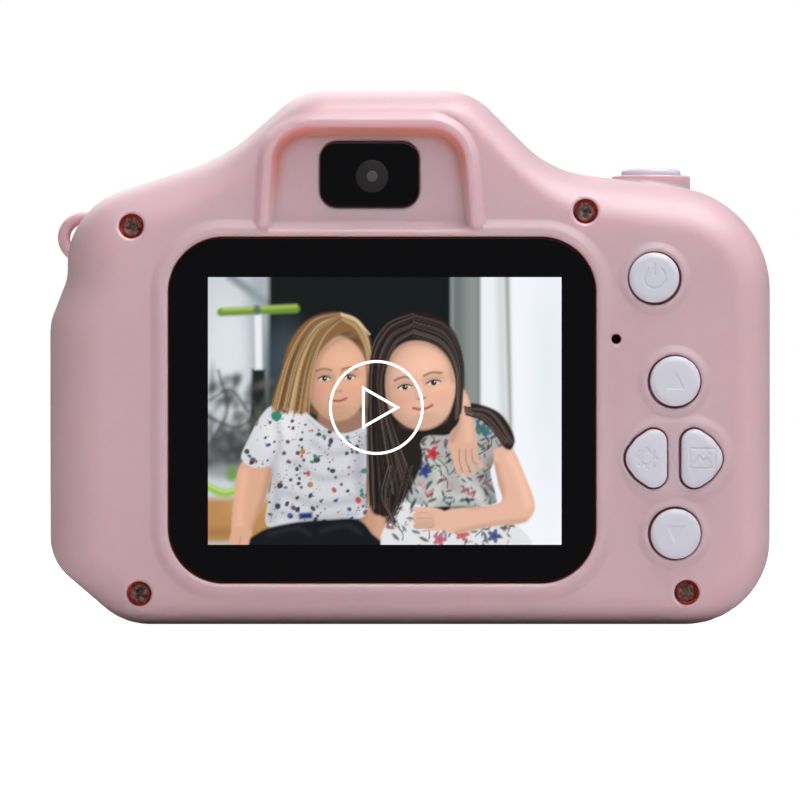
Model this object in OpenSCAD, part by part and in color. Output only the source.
// Kids digital camera: two moulded covers, a screen, two camera modules, six buttons and their electronics.
// The screen side faces -Y, the lens side faces +Y, +Z is up, and the camera stands on z = 0.

/* [Body] */
// Width over the two sides
body_w = 83; // [82:0.5:84]
// Height to the top of the hump
body_h = 61.5; // [61:0.5:63]
// Wall thickness of both covers
wall = 1.8; // [1.6:0.1:2]
// How far the rear face lies behind the lens-side origin plane
rear_face = 21; // [20.8:0.1:21.2]
// How far the front face lies in front of that plane
front_face = 5; // [4.8:0.1:5.2]

/* [Screen] */
// Width of the black screen window
window_w = 48.7; // [48:0.1:49]
// Height of the black screen window
window_h = 39.4; // [39:0.1:40]
// Corner radius of the screen window
window_r = 6.3; // [5:0.1:7]
// Width of the lit picture
picture_w = 40.3; // [39:0.1:41]
// Height of the lit picture
picture_h = 30.5; // [30:0.1:31]

/* [Buttons] */
// Radius of a round button on the rear face
button_r = 2.85; // [2.7:0.01:3]
// Gap between a button and its hole
button_gap = 0.22; // [0.2:0.01:0.3]
// How far a rear button is pressed
// Radius of the shutter button
shutter_r = 3.45; // [3.2:0.05:3.5]

/* [Lens] */
// Outer radius of the lens barrel
barrel_r = 17; // [16.5:0.1:17.5]
// How far the barrel stands out from the front face
barrel_length = 17; // [15:0.5:18]

/* [Lanyard loop] */
// Radius of the hole in the loop
loop_hole_r = 1.6; // [1.5:0.1:1.7]
// Length of the loop along the strap hole
loop_length = 3; // [2.5:0.5:4]

/* [Hidden] */
$fn = 48;

half_w = body_w / 2;
eps = 0.5;                  // how far a cut runs past the face it opens

// Planes across the body, from the screen side to the lens side
y_rear = -rear_face;
y_rear_wall = y_rear + 2;   // inner face of the rear wall
y_rear_round = -12;         // where the rear edge starts to round
y_parting = -9;             // where the two covers meet
y_front_round = -2;         // where the front edge starts to round
y_front = front_face;
y_front_wall = front_face - wall;
y_board = -9.2;             // screen side of the main board
board_t = 1.2;
y_board_front = y_board + board_t;

// Outline of the body seen from the screen side, clockwise from the bottom left: x, z, corner radius
waist_x = 39.5;
outline = [
    [-33, 0, 8], [-half_w, 7.3, 6], [-half_w, 34.8, 6], [-waist_x, 39.9, 5], [-waist_x, 47.9, 8.8],
    [-21.2, 53.9, 20], [-12.6, body_h, 8], [7, body_h, 7.5], [16.2, 52.3, 12], [half_w, 49, 12],
    [half_w, 0, 9.8]
];
corners = len(outline);
arc_steps = 5;
// How far each edge of the outline moves in over the rounded edges, starting at the bottom-left chamfer
rear_inset = [4.5, 6.5, 6.5, 6.5, 5.5, 3.4, 3.2, 3.4, 5.5, 4.2, 3];
front_inset = [4, 5.5, 5.5, 5.5, 5, 5, 4.5, 5, 5, 5, 2];

function corner_at(i) = [outline[i % corners].x, outline[i % corners].y];
function edge_dir(i) = let (v = corner_at(i + 1) - corner_at(i)) v / norm(v);
function edge_in(i) = let (d = edge_dir(i)) [d.y, -d.x];
function turned(v, a) = [v.x * cos(a) - v.y * sin(a), v.x * sin(a) + v.y * cos(a)];
// Where the line from p along d meets the line from q along e
function crossing(p, d, q, e) =
    p + d * ((q.x - p.x) * e.y - (q.y - p.y) * e.x) / (d.x * e.y - d.y * e.x);
// The rounded corner i of the outline, with every edge moved in by t, and by s times its own inset
function corner_arc(i, s, t, insets) =
    let (
        a = (i + corners - 1) % corners,
        in_a = t + s * insets[a],
        in_b = t + s * insets[i],
        da = edge_dir(a),
        db = edge_dir(i),
        p = crossing(corner_at(a) + in_a * edge_in(a), da, corner_at(i) + in_b * edge_in(i), db),
        turn = atan2(da.x * db.y - da.y * db.x, da * db),
        change = (in_a + in_b) / 2,
        r = turn < 0 ? max(outline[i][2] - change, 1) : outline[i][2] + change,
        start = p - r * tan(abs(turn) / 2) * da,
        side = sign(turn) * [-da.y, da.x]
    )
    [for (k = [0:arc_steps]) start + r * side - r * turned(side, turn * k / arc_steps)];
// One closed ring of the body at depth y
function ring(y, s, t, insets) =
    [for (i = [0:corners - 1]) for (q = corner_arc(i, s, t, insets)) [q.x, y, q.y]];

// A closed solid through rings of equal length, listed from the lowest y to the highest
module ring_solid(rings) {
    n = len(rings[0]);
    last = (len(rings) - 1) * n;
    polyhedron(
        points = [for (r = rings) for (p = r) p],
        faces = concat(
            [[for (j = [0:n - 1]) j]],
            [for (k = [0:len(rings) - 2]) for (j = [0:n - 1])
                let (a = k * n + j, b = k * n + (j + 1) % n)
                each [[a, a + n, b + n], [a, b + n, b]]],
            [[for (j = [n - 1:-1:0]) last + j]]
        )
    );
}

// The rear half of the body: t is the wall left outside it, y_face its rear face, y_end its open end
module rear_half(t, y_face, y_end) {
    depth = y_rear_round - y_face;
    ring_solid(concat(
        [for (a = [90:-15:0]) ring(y_rear_round - depth * sin(a), 1 - cos(a), t, rear_inset)],
        [ring(y_end, 0, t, rear_inset)]
    ));
}

// The front half of the body, the same way
module front_half(t, y_face, y_end) {
    depth = y_face - y_front_round;
    ring_solid(concat(
        [ring(y_end, 0, t, front_inset)],
        [for (a = [0:15:90]) ring(y_front_round + depth * sin(a), 1 - cos(a), t, front_inset)]
    ));
}

// Extrusions of a flat shape: x and z across Y, or y and z across X
module across_y(y0, y1) translate([0, y1, 0]) rotate([90, 0, 0]) linear_extrude(y1 - y0) children();
module across_x(x0, x1) translate([x0, 0, 0]) rotate([90, 0, 90]) linear_extrude(x1 - x0) children();
module rod_y(at, r, y0, y1) across_y(y0, y1) translate(at) circle(r);
module box(lo, hi) translate(lo) cube(hi - lo);

module round_rect(w, h, r) {
    square([w - 2 * r, h], center = true);
    square([w, h - 2 * r], center = true);
    for (x = [-1, 1], z = [-1, 1]) translate([x * (w / 2 - r), z * (h / 2 - r)]) circle(r);
}

// Places on the rear face: x, z
window_at = [-3.2, 24.7];
picture_at = [-2.9, 24.6];
rear_lens_at = [-4.35, 51.4];
rear_window_at = [-4.65, 51.6];
mic_at = [23.5, 32.8];
screw_at = [[-31.8, 45.7], [20, 47.4], [-30.9, 3.75], [31.55, 3.9]];
power_at = [27.8, 39.8];
up_at = [30.2, 28];
down_at = [30.25, 10.6];
settings_at = [26.92, 19.2];
gallery_at = [33.25, 19.2];
round_at = [power_at, up_at, down_at];
// The moulded holes sit a little off the buttons' centres
hole_shift = [[0.07, -0.08], [-0.08, -0.07], [-0.1, 0.04]];
d_shift = [-0.08, 0];

// Depths on the rear face
lip_h = 0.4;                // lip round the screen window
collar_h = 0.35;            // soft collars round the buttons
arch_h = 0.8;               // ridge over the rear camera
y_button_top = y_rear - 1;
y_ledge = y_rear + 1.2;     // the ledge that the screen window is stuck to
y_recess = y_rear + 1.7;    // floor of the rear camera's recess
y_recess_back = y_rear + 3.3;
y_rear_pocket = y_rear + 2.4;
y_seat = y_rear + 3.2;      // under the casing screws' heads
y_boss_end = y_rear + 4.7;

collar_r = button_r + 1;
d_w = 4.68;                 // the two D-shaped buttons
d_h = 6.66;
d_nose = 2.1;               // radius of their round side
d_flank = 1.8;              // fuller curves beside it
d_flank_at = [0.1, 0.95];
d_corner = 1.5;
platform_at = [30.4, 19.2];
platform_w = 12.6;
platform_h = 9.1;

// A D with its round side at the left, grown by g on every side
module d_shape(g) hull() {
    translate([d_nose - d_w / 2, 0]) circle(d_nose + g, $fn = 40);
    for (z = [-1, 1]) translate([d_flank_at.x, z * d_flank_at.y]) circle(d_flank + g, $fn = 36);
    for (z = [-1, 1]) translate([d_w / 2 - d_corner, z * (d_h / 2 - d_corner)])
        circle(d_corner + g, $fn = 32);
}

// The arch over the rear camera, as a filled shape inset by g
arch_left = -17.3;
arch_right = 8.1;
arch_top = 58.2;
arch_foot = 45.5;
arch_corner = 5.4;
arch_wide = 1.75;           // width of the ridge
module arch_shape(g) {
    w = arch_right - arch_left - 2 * g;
    r = arch_corner - g / 2;
    translate([arch_left + g, arch_foot]) {
        square([w, arch_top - g - r - arch_foot]);
        translate([r, 0]) square([w - 2 * r, arch_top - g - arch_foot]);
        for (x = [r, w - r]) translate([x, arch_top - g - r - arch_foot]) circle(r);
    }
}

// Lanyard loop on the left shoulder: x, z
loop_at = [-38.15, 44.8];
loop_r = 3;
loop_pocket_r = 4;
loop_y = -4;

// Casing screws: head radius, shank radius and the holes they need
screw_head_r = 1.15;
screw_head_h = 1;
screw_shank_r = 0.78;
screw_pilot_r = 0.8;
screw_free_r = 0.95;
screw_well_r = 1.44;
screw_len = 8;
boss_r = 2.7;
post_r = 2.2;

module rear_cover() color("pink") difference() {
    union() {
        rear_half(0, y_rear, y_parting);
        // raised lip round the screen window
        across_y(y_rear - lip_h, y_rear + eps) translate(window_at)
            round_rect(window_w + 2.8, window_h + 2.8, window_r + 1.4);
        // ridge over the rear camera
        across_y(y_rear - arch_h, y_rear + eps) arch_shape(0);
        for (p = round_at) rod_y(p, collar_r, y_rear - collar_h, y_rear + eps);
        across_y(y_rear - collar_h, y_rear + eps) translate(platform_at)
            round_rect(platform_w, platform_h, platform_h / 2 - 0.01);
    }
    // the cavity, less the bosses and the block behind the rear camera
    difference() {
        rear_half(wall, y_rear_wall, y_parting + 1);
        for (p = screw_at) rod_y(p, boss_r, y_rear, y_boss_end);
        across_y(y_rear, y_recess_back) arch_shape(-0.6);
        // floor that closes the cavity behind the lanyard pocket
        rod_y(loop_at, loop_pocket_r + 1.3, y_parting - 1.6, y_parting + 2);
    }
    // screen window: its pocket and the opening behind the ledge
    across_y(y_rear - 2, y_ledge) translate(window_at)
        round_rect(window_w + 0.2, window_h + 0.2, window_r + 0.1);
    across_y(y_rear - 2, y_rear_wall + eps) translate(picture_at)
        round_rect(picture_w + 2.2, picture_h + 2.2, 1);
    // rear camera: recess inside the arch, pocket for its window, hole for its lens
    across_y(y_rear - 2, y_recess) arch_shape(arch_wide);
    across_y(y_rear - 2, y_rear_pocket) translate(rear_window_at) round_rect(11.5, 7.7, 2.1);
    rod_y(rear_lens_at, 2.6, y_rear - 2, y_recess_back + eps);
    // screws
    for (p = screw_at) {
        rod_y(p, screw_well_r, y_rear - 2, y_seat);
        rod_y(p, screw_free_r, y_rear - 2, y_boss_end + eps);
    }
    // buttons and microphone
    for (i = [0:2])
        rod_y(round_at[i] + hole_shift[i], button_r + button_gap, y_rear - 2, y_rear_wall + eps);
    across_y(y_rear - 2, y_rear_wall + eps) translate(settings_at + d_shift) d_shape(button_gap);
    across_y(y_rear - 2, y_rear_wall + eps) translate(gallery_at + d_shift) mirror([1, 0]) d_shape(button_gap);
    rod_y(mic_at, 0.57, y_rear - 2, y_rear_wall + eps);
}

// Shutter button on the right shoulder: x, y
shutter_at = [28.15, -3.5];
shutter_top = 52.8;
shutter_collar_top = 52;
shutter_collar_r = 4.56;
shutter_stem_end = 45.4;
shutter_board_top = 41.7;
shutter_shelf_x = [23.4, 31.9];

// Port recess in the bottom
port_x = [-14, 13.4];
port_y = [-8.3, -3.8];
port_depth = 1.3;
port_floor = 3;
hinge_y = -3;
hinge_z = 0.8;
hinge_half = 6;             // half the length of the port cover's knuckle
knuckle_r = 0.55;
usb_x = [-12.3, -4.7];
usb_y = [y_board_front, -5.3];
card_x = [0.8, 11.8];
card_y = [-7.25, -6.45];

// Main board and its screws: x, z
board_x = [-28, 36.5];
board_z = [3.4, 44.5];
board_screw_at = [[-25, 41], [20.5, 41], [-25, 6.4], [22, 6.2]];

// Lens, flash and speaker on the front face: x, z
lens_at = [-3.2, 27];
module_hole_r = 6.3;
barrel_screw_at = [for (a = [90, 210, 330]) lens_at + 12 * [cos(a), sin(a)]];
flash_at = [-2.8, 51.3];
speaker_at = [25, 18.5];
speaker_r = 7.5;

module front_cover() color("pink") difference() {
    union() {
        front_half(0, y_front, y_parting);
        translate([shutter_at.x, shutter_at.y, 49]) cylinder(r = shutter_collar_r, h = shutter_collar_top - 49);
        rod_y(loop_at, loop_r, loop_y, loop_y + loop_length);
    }
    difference() {
        front_half(wall, y_front_wall, y_parting - 1);
        // posts for the casing screws and the main board
        for (p = screw_at) rod_y(p, post_r, y_parting - 2, y_front);
        for (p = board_screw_at) rod_y(p, post_r, y_board_front, y_front);
        // lining of the lanyard pocket, floor of the port recess, shelf of the shutter board
        rod_y(loop_at, loop_pocket_r + 1.3, y_parting - 2, y_front);
        box([port_x[0] - 1.5, y_parting - 2, -1], [port_x[1] + 1.5, -1.6, port_floor]);
        for (x = shutter_shelf_x)
            box([x, -7.6, shutter_board_top - 2.5], [x + 1.5, y_front, shutter_board_top - 1]);
    }
    // posts' pilot holes
    for (p = screw_at) rod_y(p, screw_pilot_r, y_parting - 2, y_seat + screw_len + 0.5);
    for (p = board_screw_at) rod_y(p, screw_pilot_r, y_board_front - 1, y_board_front + 6);
    // shutter button
    translate([shutter_at.x, shutter_at.y, 46]) cylinder(r = shutter_r + button_gap, h = 8);
    // lanyard pocket, around the loop
    difference() {
        rod_y(loop_at, loop_pocket_r, y_parting - 1, y_front + 1);
        rod_y(loop_at, loop_r, loop_y, loop_y + loop_length);
        box([loop_at.x, loop_y, loop_at.y + loop_hole_r], [-30, loop_y + loop_length, loop_at.y + loop_r]);
        box([loop_at.x, loop_y, loop_at.y - loop_r], [-30, loop_y + loop_length, loop_at.y - loop_hole_r]);
    }
    rod_y(loop_at, loop_hole_r, loop_y - 1, y_front + 1);
    // port recess, hinge groove and the two sockets' openings
    box([port_x[0], port_y[0], -1], [port_x[1], port_y[1], port_depth]);
    box([-hinge_half - 0.2, port_y[1] - 1, -1], [hinge_half + 0.2, -2.3, hinge_z]);
    box([-hinge_half - 0.2, port_y[1] - 1, -1], [hinge_half + 0.2, hinge_y, port_depth]);
    across_x(-hinge_half - 0.2, hinge_half + 0.2) translate([hinge_y, hinge_z]) circle(0.7);
    box([usb_x[0] - 0.2, usb_y[0] + 0.1, 0], [usb_x[1] + 0.2, usb_y[1] + 0.2, port_floor + 1]);
    box([card_x[0] - 0.3, card_y[0] - 0.25, 0], [card_x[1] + 0.3, card_y[1] + 0.25, port_floor + 1]);
    // port cover anchors
    for (x = [-9.4, 9.4]) translate([x, -2.6, -1]) cylinder(r = 0.7, h = 3);
    // lens: module hole and screws
    rod_y(lens_at, module_hole_r, y_front_wall - 1, y_front + 1);
    for (p = barrel_screw_at) rod_y(p, 1.05, y_front_wall - 1, y_front + 1);
    // flash window and speaker
    across_y(y_front_wall - 1, y_front + 1) translate(flash_at) round_rect(9.2, 5.2, 1.6);
    rod_y(speaker_at, 0.6, y_front_wall - 1, y_front + 1);
    for (a = [0:60:300])
        rod_y(speaker_at + 2.6 * [cos(a), sin(a)], 0.6, y_front_wall - 1, y_front + 1);
}

// A pan-head screw along +Y with a cross slot: seat is the y under its head
module screw(at, seat, len, head_r, head_h, shank_r) difference() {
    union() {
        rod_y(at, head_r, seat - head_h, seat);
        rod_y(at, shank_r, seat - 0.1, seat + len);
    }
    across_y(seat - head_h - 1, seat - head_h / 2) translate(at) {
        square([head_r * 1.2, head_r * 0.3], center = true);
        square([head_r * 0.3, head_r * 1.2], center = true);
    }
}

module casing_screws() color("dimgray")
    for (p = screw_at) screw(p, y_seat, screw_len, screw_head_r, screw_head_h, screw_shank_r);

module board_screws() color("silver")
    for (p = board_screw_at) screw(p, y_board, 5, 1.5, 0.9, screw_shank_r);

module barrel_screws() color("silver")
    for (p = barrel_screw_at) screw(p, y_front_wall, 6, 1.6, 1, 0.9);

// Screen
module screen_gasket() color("dimgray") across_y(y_ledge - 0.15, y_ledge) difference() {
    translate(window_at) round_rect(window_w - 0.6, window_h - 0.6, window_r - 0.3);
    translate(picture_at) round_rect(picture_w + 2.2, picture_h + 2.2, 1);
}

module screen_window() color("black") across_y(y_rear + 0.1, y_ledge - 0.15)
    translate(window_at) round_rect(window_w, window_h, window_r);

lcd_w = 46.2;
lcd_h = 37;
lcd_t = 2.2;
y_lcd_back = y_rear_wall + lcd_t + 0.1;

module lcd_frame() color("white") difference() {
    across_y(y_rear_wall, y_lcd_back + 0.7) translate(window_at) round_rect(lcd_w + 1.4, lcd_h + 1.4, 1);
    across_y(y_rear_wall - 1, y_lcd_back) translate(window_at) square([lcd_w + 0.1, lcd_h + 0.1], center = true);
    across_y(y_rear_wall - 1, y_lcd_back + 1) translate([0, 8]) square([15, 5], center = true);
}

module lcd_panel() color("gray") {
    across_y(y_rear_wall + 0.05, y_lcd_back - 0.05) translate(window_at) square([lcd_w, lcd_h], center = true);
    across_y(y_rear_wall - 0.5, y_rear_wall + 0.1) translate(picture_at)
        square([picture_w + 0.6, picture_h + 0.6], center = true);
}

module lcd_flex() color("orange") across_x(-6, 6)
    polygon([[y_lcd_back, 7], [y_board, 7], [y_board, 7.25], [y_lcd_back + 1.05, 7.25],
             [y_lcd_back + 1.05, 9.2], [y_lcd_back, 9.2]]);

// Rear camera
module rear_camera_window() color("black") across_y(y_recess - 0.3, y_rear_pocket)
    translate(rear_window_at) round_rect(11.3, 7.5, 2);

module rear_camera_module() color("dimgray") difference() {
    union() {
        across_y(y_recess_back, y_recess_back + 3.2) translate(rear_lens_at) square(8, center = true);
        rod_y(rear_lens_at, 2.4, y_rear_pocket + 0.1, y_recess_back + 0.5);
    }
    rod_y(rear_lens_at, 1.52, y_rear_pocket, y_rear_pocket + 0.8);
}

module rear_camera_lens() color("lightblue") rod_y(rear_lens_at, 1.5, y_rear_pocket + 0.2, y_rear_pocket + 0.7);

module rear_camera_flex() color("orange") across_x(rear_lens_at.x - 2.5, rear_lens_at.x + 2.5) {
    y = y_recess_back + 3.2;
    polygon([[y, 50], [y + 0.25, 50], [y + 0.25, 40.25], [y_board, 40.25], [y_board, 40], [y, 40]]);
}

// Boards
module main_board() color("darkgreen") difference() {
    across_y(y_board, y_board_front) difference() {
        translate([board_x[0], board_z[0]]) square([board_x[1] - board_x[0], board_z[1] - board_z[0]]);
        translate([28.9, 0]) square([10, 6.7]);
    }
    for (p = board_screw_at) rod_y(p, 1, y_board - 1, y_board_front + 1);
}

module main_chips() color("black") {
    box([-8, y_board - 1, 22], [2, y_board, 32]);
    box([-20, y_board - 0.8, 24], [-13, y_board, 30]);
    box([7, y_board - 1.2, 24], [12, y_board, 33]);
    box([-6.5, y_board - 1.6, 36.5], [-2.5, y_board, 39.5]);
    box([-7, y_board - 1.6, 9], [7, y_board, 11.5]);
}

// Switches behind the rear buttons
switch_at = [power_at, up_at, down_at, settings_at, gallery_at];
y_switch_top = y_board - 3.4;
y_stem_end = y_board - 4.3;
plunger_r = 1;

module button_switches() color("black") for (p = switch_at) difference() {
    across_y(y_switch_top, y_board) translate(p) square(4.4, center = true);
    rod_y(p, plunger_r + 0.08, y_switch_top - 1, y_board - 1.6);
}

module plunger(p) color("gray") rod_y(p, plunger_r, y_stem_end, y_board - 2.4);
module power_plunger() plunger(power_at);
module up_plunger() plunger(up_at);
module down_plunger() plunger(down_at);
module settings_plunger() plunger(settings_at);
module gallery_plunger() plunger(gallery_at);

// A rear button: its cap, the flange that keeps it in, and its stem
y_flange = y_rear_wall + 0.3;
flange_t = 0.8;
module round_button(p) color("white") {
    rod_y(p, button_r, y_button_top, y_flange + 0.1);
    rod_y(p, button_r + 0.6, y_flange, y_flange + flange_t);
    rod_y(p, 1.2, y_flange + 0.1, y_stem_end);
}
module power_button() round_button(power_at);
module up_button() round_button(up_at);
module down_button() round_button(down_at);

// A D-shaped rear button with its round side at the left
module d_button(p) color("white") {
    across_y(y_button_top, y_flange + 0.1) translate(p) d_shape(0);
    across_y(y_flange, y_flange + flange_t) translate(p) d_shape(0.45);
    rod_y(p, 1.2, y_flange + 0.1, y_stem_end);
}
module settings_button() d_button(settings_at);
module gallery_button() translate([2 * gallery_at.x, 0, 0]) mirror([1, 0, 0]) d_button(gallery_at);

// Shutter
module shutter_button() color("white") translate([shutter_at.x, shutter_at.y, 0]) {
    translate([0, 0, 47.5]) cylinder(r = shutter_r, h = shutter_top - 47.5);
    translate([0, 0, 47.4]) cylinder(r = shutter_r + 0.7, h = 0.7);
    translate([0, 0, shutter_stem_end]) cylinder(r = 1.2, h = 47.5 - shutter_stem_end);
}

module shutter_plunger() color("gray") translate([shutter_at.x, shutter_at.y, shutter_stem_end - 1.8])
    cylinder(r = 1.1, h = 1.8);

module shutter_switch() color("black") translate([shutter_at.x, shutter_at.y, shutter_board_top])
    difference() {
        translate([-3, -3, 0]) cube([6, 6, 2.9]);
        translate([0, 0, 0.7]) cylinder(r = 1.2, h = 4);
    }

module shutter_board() color("darkgreen")
    box([23.4, -7.6, shutter_board_top - 1], [33.4, 1, shutter_board_top]);

// Power, sound and ports
y_battery = y_board_front + 1;
module battery() color("silver") {
    box([-22, y_battery, 19.4], [12, y_battery + 5.5, 43]);
    box([10, y_battery + 1.5, 43], [12, y_battery + 3.5, 43.3]);
}
module battery_pad() color("dimgray") box([-20, y_board_front, 20.4], [10, y_battery, 42]);

// Two wires from the right of the battery to the board
module battery_lead() color("red") for (z = [37.5, 40]) {
    translate([12, y_battery + 3, z]) rotate([0, 90, 0]) cylinder(r = 0.5, h = 3);
    rod_y([15, z], 0.5, y_board_front, y_battery + 3);
    translate([15, y_battery + 3, z]) sphere(r = 0.5);
}

y_speaker = y_front_wall - 3.6;
module speaker() color("dimgray") difference() {
    rod_y(speaker_at, speaker_r, y_speaker, y_front_wall);
    rod_y(speaker_at, speaker_r - 1, y_front_wall - 0.8, y_front_wall + 1);
}

module speaker_lead() color("red") for (x = [-1.2, 1.2])
    rod_y(speaker_at + [x, 5], 0.5, y_board_front, y_speaker);

module usb_port() color("silver") difference() {
    box([usb_x[0], usb_y[0], port_floor + 0.05], [usb_x[1], usb_y[1], 8.6]);
    difference() {
        box([usb_x[0] + 0.35, usb_y[0] + 0.35, 2], [usb_x[1] - 0.35, usb_y[1] - 0.35, 8]);
        box([usb_x[0] + 1.6, usb_y[0] + 1, 3.6], [usb_x[1] - 1.6, usb_y[1] - 1, 9]);
    }
}

card_len = 15;
card_z = 2;
card_travel = 0.8;
module card_slot() color("silver") difference() {
    box([card_x[0] - 1.4, y_board_front, port_floor + 0.05], [card_x[1] + 1.4, card_y[1] + 0.45, 18.6]);
    box([card_x[0] - 0.2, card_y[0] - 0.2, 0], [card_x[1] + 0.2, card_y[1] + 0.2, card_z + card_len + card_travel + 0.3]);
}

module memory_card() color("black") {
    across_y(card_y[0], card_y[1]) translate([card_x[0], card_z])
        polygon([[0, 0], [11, 0], [11, 8], [10.2, 8.8], [10.2, card_len], [0.8, card_len], [0, card_len - 0.8]]);
}

// Rubber cover over the ports: plate, neck and knuckle
module port_cover() color("pink") {
    box([port_x[0] + 0.2, port_y[0] + 0.2, 0.1], [port_x[1] - 0.2, -4.2, 1.15]);
    box([-hinge_half, -4.4, 0.6], [hinge_half, hinge_y, 1]);
    across_x(-hinge_half, hinge_half) translate([hinge_y, hinge_z]) circle(knuckle_r);
}

module port_cover_anchor() color("pink") for (x = [-9.4, 9.4])
    translate([x, -2.6, 0.05]) cylinder(r = 0.66, h = 1.9);

// Lens barrel, along +Y from the front face
y_barrel_end = y_front + barrel_length - 2;
barrel_wall = 1.8;
barrel_floor = 1.5;
module around_lens() translate([lens_at.x, 0, lens_at.y]) rotate([-90, 0, 0]) rotate_extrude() children();

module lens_barrel() color("white") difference() {
    union() {
        around_lens() difference() {
            polygon([[module_hole_r, y_front], [barrel_r + 1.8, y_front], [barrel_r + 1.8, y_front + 2.4],
                     [barrel_r + 1, y_front + 3.2], [barrel_r, y_front + 3.2], [barrel_r, y_barrel_end],
                     [module_hole_r, y_barrel_end]]);
            translate([0, y_front + barrel_floor]) square([barrel_r - barrel_wall, barrel_length]);
        }
        for (p = barrel_screw_at) rod_y(p, 2.2, y_front + 1, y_front + 6.5);
    }
    for (p = barrel_screw_at) rod_y(p, 0.92, y_front - 1, y_front + 5.8);
}

module lens_trim_ring() color("silver") around_lens()
    polygon([[barrel_r - 3.4, y_barrel_end + 0.8], [barrel_r - barrel_wall - 0.1, y_barrel_end + 0.8],
             [barrel_r - barrel_wall - 0.1, y_barrel_end], [barrel_r, y_barrel_end],
             [barrel_r, y_barrel_end + 1.2], [barrel_r - 0.8, y_barrel_end + 2],
             [barrel_r - 2.4, y_barrel_end + 2]]);

module lens_glass() color("lightblue")
    rod_y(lens_at, barrel_r - barrel_wall - 0.2, y_barrel_end - 0.6, y_barrel_end + 0.8);

module lens_baffle() color("black") around_lens()
    polygon([[5.2, y_front + 4.2], [6.2, y_front + 4.2], [barrel_r - barrel_wall - 0.2, y_barrel_end - 1.6],
             [barrel_r - barrel_wall - 0.2, y_barrel_end - 0.6], [barrel_r - barrel_wall - 1.2, y_barrel_end - 0.6],
             [barrel_r - barrel_wall - 1.2, y_barrel_end - 1.3]]);

y_module_back = -0.6;
module front_camera_module() color("dimgray") difference() {
    union() {
        across_y(y_module_back, y_front + 1) translate(lens_at) square(8.4, center = true);
        across_y(y_front_wall - 1, y_front_wall) translate(lens_at) square(15, center = true);
        rod_y(lens_at, 4, y_front, y_front + 5);
    }
    rod_y(lens_at, 2.72, y_front + 4, y_front + 6);
}

module front_camera_lens() color("lightblue") rod_y(lens_at, 2.7, y_front + 4, y_front + 4.8);

module front_camera_flex() color("orange") across_x(lens_at.x - 3, lens_at.x + 3)
    polygon([[y_module_back, 24], [y_module_back, 43.75], [y_board_front, 43.75], [y_board_front, 43.5],
             [y_module_back - 0.25, 43.5], [y_module_back - 0.25, 24]]);

module flash_window() color("white") {
    across_y(y_front_wall, y_front - 0.1) translate(flash_at) round_rect(9, 5, 1.5);
}

module flash_led() color("gold") {
    across_y(y_front_wall - 2, y_front_wall - 1) translate(flash_at) square([11, 7], center = true);
    across_y(y_front_wall - 1, y_front_wall - 0.1) translate(flash_at) square(3.5, center = true);
}

module microphone() color("silver") difference() {
    rod_y(mic_at, 2, y_rear_wall, y_rear_wall + 1.6);
    rod_y(mic_at, 0.5, y_rear_wall - 1, y_rear_wall + 0.5);
}

rear_cover();
front_cover();
casing_screws();
screen_gasket();
screen_window();
lcd_frame();
lcd_panel();
lcd_flex();
rear_camera_window();
rear_camera_module();
rear_camera_lens();
rear_camera_flex();
main_board();
main_chips();
board_screws();
button_switches();
microphone();
power_button();
power_plunger();
up_button();
up_plunger();
down_button();
down_plunger();
settings_button();
settings_plunger();
gallery_button();
gallery_plunger();
shutter_button();
shutter_plunger();
shutter_switch();
shutter_board();
battery();
battery_pad();
battery_lead();
speaker();
speaker_lead();
usb_port();
card_slot();
memory_card();
port_cover();
port_cover_anchor();
lens_barrel();
barrel_screws();
lens_baffle();
lens_glass();
lens_trim_ring();
front_camera_module();
front_camera_lens();
front_camera_flex();
flash_window();
flash_led();
